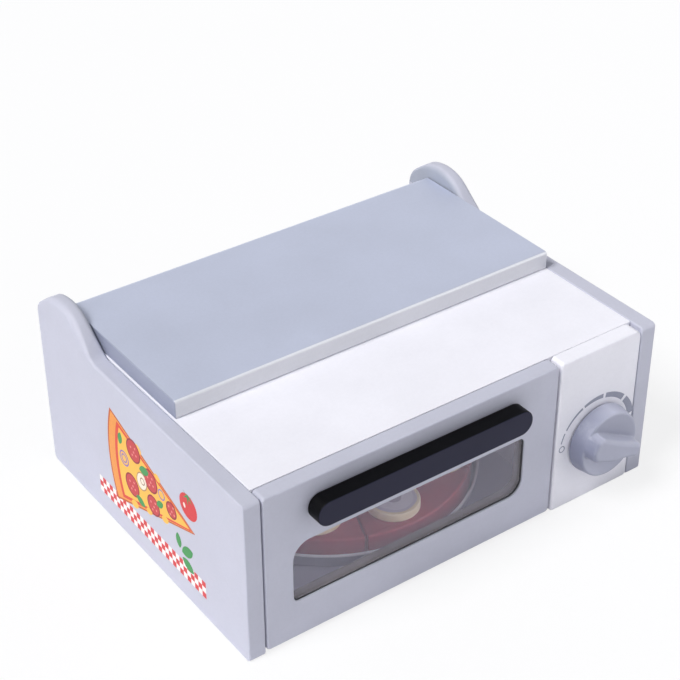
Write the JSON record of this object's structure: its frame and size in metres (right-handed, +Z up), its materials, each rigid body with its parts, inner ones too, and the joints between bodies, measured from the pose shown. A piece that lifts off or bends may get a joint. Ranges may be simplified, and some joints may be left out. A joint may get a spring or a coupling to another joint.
{
  "type": "toy pizza oven",
  "caption": "Toy pizza oven of painted board with a drop-down windowed door, a turning knob, a hinged lid over a topping tray and a sliced pizza in a pan.",
  "frame": {"origin": "on the ground under the cabinet, in the middle of the side panels' width and depth", "axes": "+X to the right seen from the front, along the longest side; +Y to the rear; +Z up"},
  "size_m": [0.255, 0.214, 0.115],
  "materials": {
    "grey_paint": "satin light grey paint on board",
    "white_paint": "satin white paint on board",
    "silver_paint": "satin silver-grey paint on board",
    "black_paint": "satin black paint on wood",
    "knob_paint": "satin grey paint on wood",
    "red_paint": "satin red paint on wood",
    "bare_wood": "sanded light wood",
    "clear_acrylic": "clear acrylic sheet",
    "tinned_steel": "pressed tinned sheet",
    "zinc_steel": "zinc plated"
  },
  "bodies": {
    "cabinet": {"left_side_panel": "grey_paint", "right_side_panel": "grey_paint", "base_board": "grey_paint", "back_board": "grey_paint", "oven_ceiling": "grey_paint", "cavity_wall": "grey_paint", "tray_front_wall": "white_paint", "tray_rear_wall": "white_paint", "counter_top": "white_paint", "control_panel": "white_paint", "door_magnet": "zinc_steel", "pizza_pan": "tinned_steel", "pizza_slice_1": "red_paint", "pizza_slice_2": "red_paint", "pizza_slice_3": "red_paint", "pizza_slice_4": "red_paint", "pizza_slice_5": "red_paint", "pizza_slice_6": "red_paint", "topping_disc_1": "bare_wood", "topping_disc_2": "bare_wood", "topping_disc_3": "bare_wood", "topping_disc_4": "bare_wood", "topping_disc_5": "bare_wood", "topping_disc_6": "bare_wood"},
    "door": {"door_frame": "grey_paint", "door_window": "clear_acrylic", "door_handle": "black_paint", "handle_screw_left": "zinc_steel", "handle_screw_right": "zinc_steel", "door_pin_left": "zinc_steel", "door_pin_right": "zinc_steel", "door_strike": "zinc_steel"},
    "lid": {"lid_board": "silver_paint", "lid_pin_left": "zinc_steel", "lid_pin_right": "zinc_steel"},
    "knob": {"knob": "knob_paint", "knob_spindle": "bare_wood", "knob_collar": "bare_wood"}
  },
  "joints": [
    {"name": "door_hinge", "type": "hinge", "parent": "cabinet", "child": "door", "pos_m": [-0.028, -0.0942, 0.0063], "axis": [1, 0, 0], "range_deg": [0, 83]},
    {"name": "lid_hinge", "type": "hinge", "parent": "cabinet", "child": "lid", "pos_m": [0, 0.0725, 0.10085], "axis": [-1, 0, 0], "range_deg": [0, 105]},
    {"name": "knob_turn", "type": "hinge", "parent": "cabinet", "child": "knob", "pos_m": [0.09185, -0.0985, 0.0384], "axis": [0, 1, 0], "continuous": true}
  ]
}
